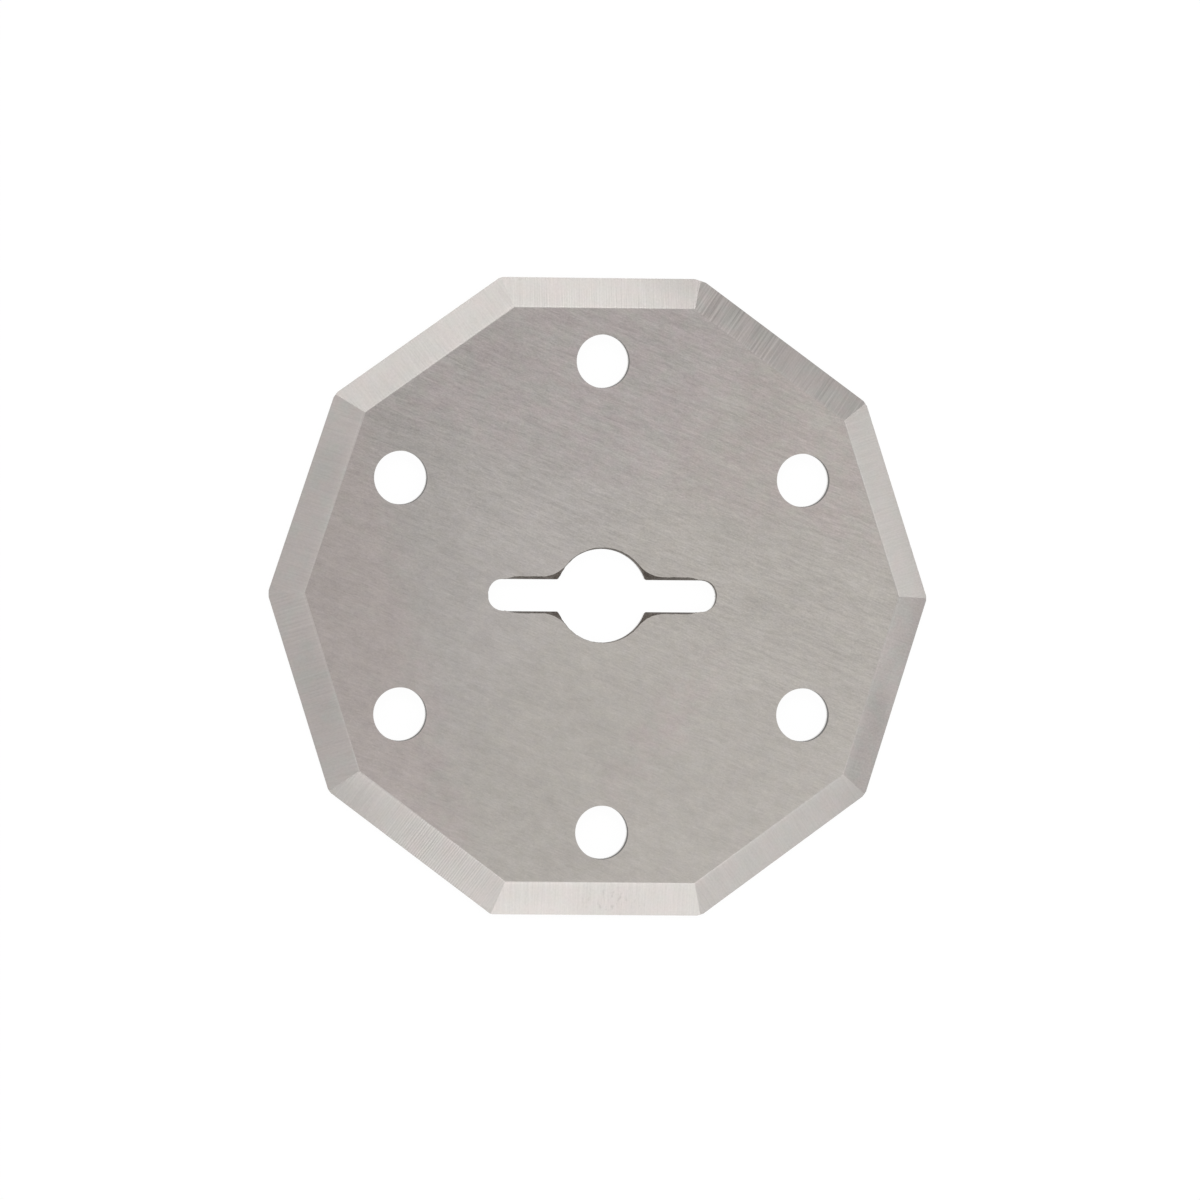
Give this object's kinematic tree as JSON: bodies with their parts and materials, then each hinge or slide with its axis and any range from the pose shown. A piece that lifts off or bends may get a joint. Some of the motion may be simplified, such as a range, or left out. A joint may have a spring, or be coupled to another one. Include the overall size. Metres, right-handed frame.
{
  "type": "rotary cutter blade",
  "caption": "Flat decagonal steel blade with straight double-bevelled cutting edges, a slotted centre bore and a ring of round drive holes.",
  "frame": {"origin": "on the centre bore's axis, at the back face that the blade lies on", "axes": "+Z out of the front face along the bore's axis, +X along the two drive slots and through two corners, +Y through a drive hole"},
  "size_m": [0.025, 0.0238, 0.0005],
  "materials": {
    "blade_steel": "satin ground steel, with fine parallel grinding lines on the face and lines across each bevel"
  },
  "bodies": {
    "root": {"blade": "blade_steel"}
  },
  "joints": []
}
